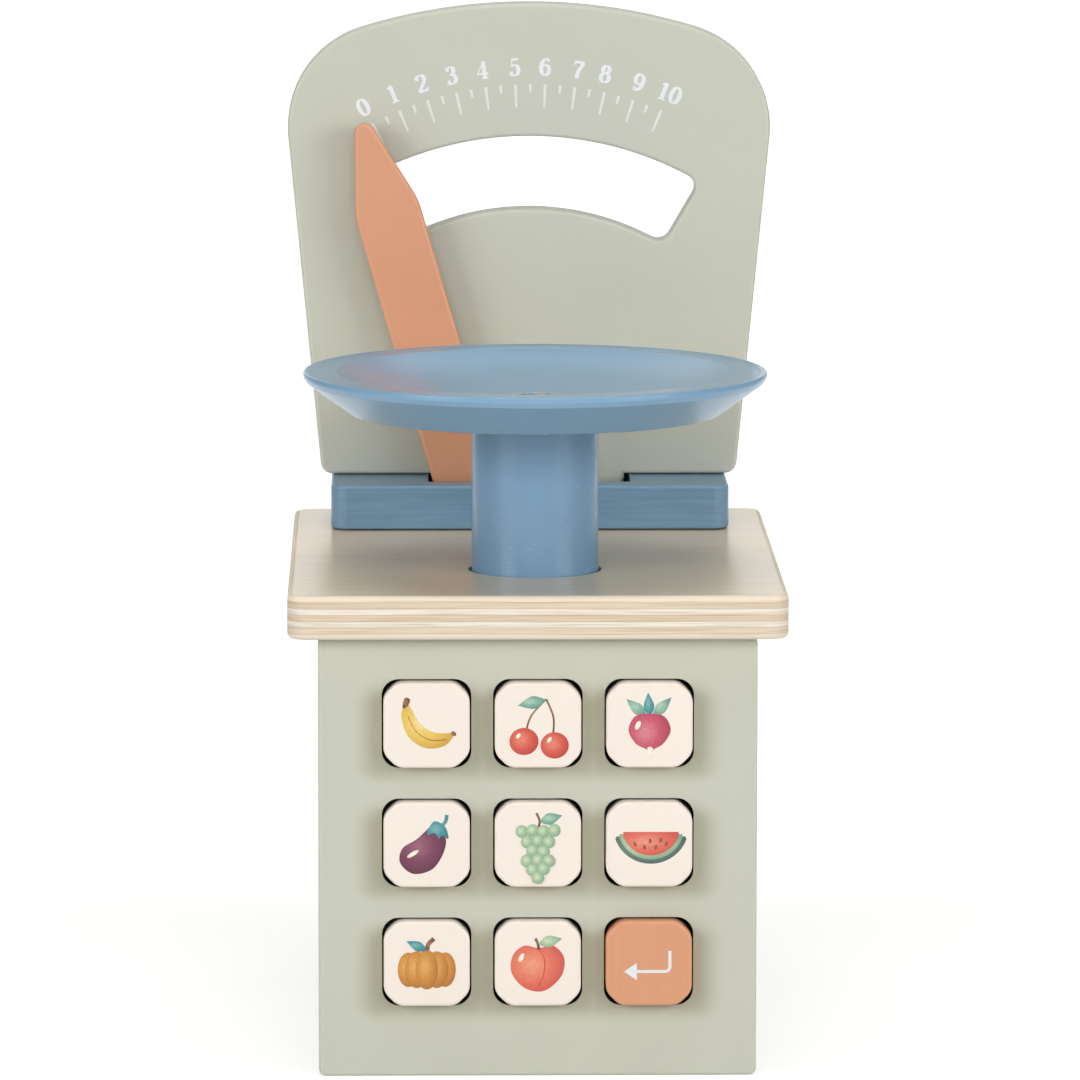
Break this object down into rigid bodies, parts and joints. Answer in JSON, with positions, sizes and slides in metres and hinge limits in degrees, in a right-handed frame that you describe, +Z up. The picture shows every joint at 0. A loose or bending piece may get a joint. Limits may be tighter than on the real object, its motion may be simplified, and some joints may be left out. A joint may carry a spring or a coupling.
{
  "type": "toy kitchen scale",
  "caption": "Wooden toy kitchen scale: painted box with sprung keys, plywood top, round dish that sinks and a pointer that sweeps an arched dial board.",
  "frame": {"origin": "centre of the underside of the bounding box, on the surface that the box stands on", "axes": "+Z up, the keys and the dial face -Y, +X to the right of someone who reads the dial"},
  "size_m": [0.1264, 0.1722, 0.258],
  "materials": {
    "sage_paint": "satin sage green paint on MDF",
    "blue_paint": "satin blue paint on turned wood",
    "orange_paint": "satin orange paint on wood",
    "cream_paint": "satin cream paint on wood",
    "birch_plywood": "clear satin lacquer on birch plywood",
    "raw_beech": "unfinished beech",
    "zinc_steel": "bright zinc plate"
  },
  "bodies": {
    "box": {"front_panel": "sage_paint", "left_panel": "sage_paint", "right_panel": "sage_paint", "rear_panel": "sage_paint", "base_plate": "raw_beech", "corner_block_1": "raw_beech", "corner_block_2": "raw_beech", "corner_block_3": "raw_beech", "corner_block_4": "raw_beech", "base_screw_1": "zinc_steel", "base_screw_2": "zinc_steel", "base_screw_3": "zinc_steel", "base_screw_4": "zinc_steel", "key_backboard": "raw_beech", "guide_post": "raw_beech", "axle_bracket": "raw_beech", "top_board": "birch_plywood", "slot_bar": "blue_paint", "bar_screw_1": "zinc_steel", "bar_screw_2": "zinc_steel", "dial_board": "sage_paint"},
    "dish": {"dish": "blue_paint", "dish_column": "blue_paint", "dish_screw": "zinc_steel", "foot_plate": "raw_beech", "drive_fork": "raw_beech", "main_spring": "zinc_steel"},
    "pointer": {"pointer": "orange_paint", "pointer_hub": "raw_beech", "pointer_axle": "zinc_steel", "crank_arm": "raw_beech", "crank_pin": "zinc_steel"},
    "key_1": {"key_1": "cream_paint", "key_spring_1": "zinc_steel"},
    "key_2": {"key_2": "cream_paint", "key_spring_2": "zinc_steel"},
    "key_3": {"key_3": "cream_paint", "key_spring_3": "zinc_steel"},
    "key_4": {"key_4": "cream_paint", "key_spring_4": "zinc_steel"},
    "key_5": {"key_5": "cream_paint", "key_spring_5": "zinc_steel"},
    "key_6": {"key_6": "cream_paint", "key_spring_6": "zinc_steel"},
    "key_7": {"key_7": "cream_paint", "key_spring_7": "zinc_steel"},
    "key_8": {"key_8": "cream_paint", "key_spring_8": "zinc_steel"},
    "key_9": {"key_9": "orange_paint", "key_spring_9": "zinc_steel"}
  },
  "joints": [
    {"name": "dish_sink", "type": "slide", "parent": "box", "child": "dish", "axis": [0, 0, -1], "range_m": [0, 0.012], "stiffness_N_per_m": 400, "springref_m": -0.006, "deforming": ["main_spring"]},
    {"name": "pointer_turn", "type": "hinge", "parent": "box", "child": "pointer", "pos_m": [0, 0.0576, 0.0771], "axis": [0, 1, 0], "range_deg": [0, 29]},
    {"name": "key_press_1", "type": "slide", "parent": "box", "child": "key_1", "axis": [0, 1, 0], "range_m": [0, 0.003], "stiffness_N_per_m": 150, "springref_m": -0.002, "deforming": ["key_spring_1"]},
    {"name": "key_press_2", "type": "slide", "parent": "box", "child": "key_2", "axis": [0, 1, 0], "range_m": [0, 0.003], "stiffness_N_per_m": 150, "springref_m": -0.002, "deforming": ["key_spring_2"]},
    {"name": "key_press_3", "type": "slide", "parent": "box", "child": "key_3", "axis": [0, 1, 0], "range_m": [0, 0.003], "stiffness_N_per_m": 150, "springref_m": -0.002, "deforming": ["key_spring_3"]},
    {"name": "key_press_4", "type": "slide", "parent": "box", "child": "key_4", "axis": [0, 1, 0], "range_m": [0, 0.003], "stiffness_N_per_m": 150, "springref_m": -0.002, "deforming": ["key_spring_4"]},
    {"name": "key_press_5", "type": "slide", "parent": "box", "child": "key_5", "axis": [0, 1, 0], "range_m": [0, 0.003], "stiffness_N_per_m": 150, "springref_m": -0.002, "deforming": ["key_spring_5"]},
    {"name": "key_press_6", "type": "slide", "parent": "box", "child": "key_6", "axis": [0, 1, 0], "range_m": [0, 0.003], "stiffness_N_per_m": 150, "springref_m": -0.002, "deforming": ["key_spring_6"]},
    {"name": "key_press_7", "type": "slide", "parent": "box", "child": "key_7", "axis": [0, 1, 0], "range_m": [0, 0.003], "stiffness_N_per_m": 150, "springref_m": -0.002, "deforming": ["key_spring_7"]},
    {"name": "key_press_8", "type": "slide", "parent": "box", "child": "key_8", "axis": [0, 1, 0], "range_m": [0, 0.003], "stiffness_N_per_m": 150, "springref_m": -0.002, "deforming": ["key_spring_8"]},
    {"name": "key_press_9", "type": "slide", "parent": "box", "child": "key_9", "axis": [0, 1, 0], "range_m": [0, 0.003], "stiffness_N_per_m": 150, "springref_m": -0.002, "deforming": ["key_spring_9"]}
  ],
  "couplings": [
    {"joint": "pointer_turn", "follows": "dish_sink", "rad_per_m": 42}
  ]
}
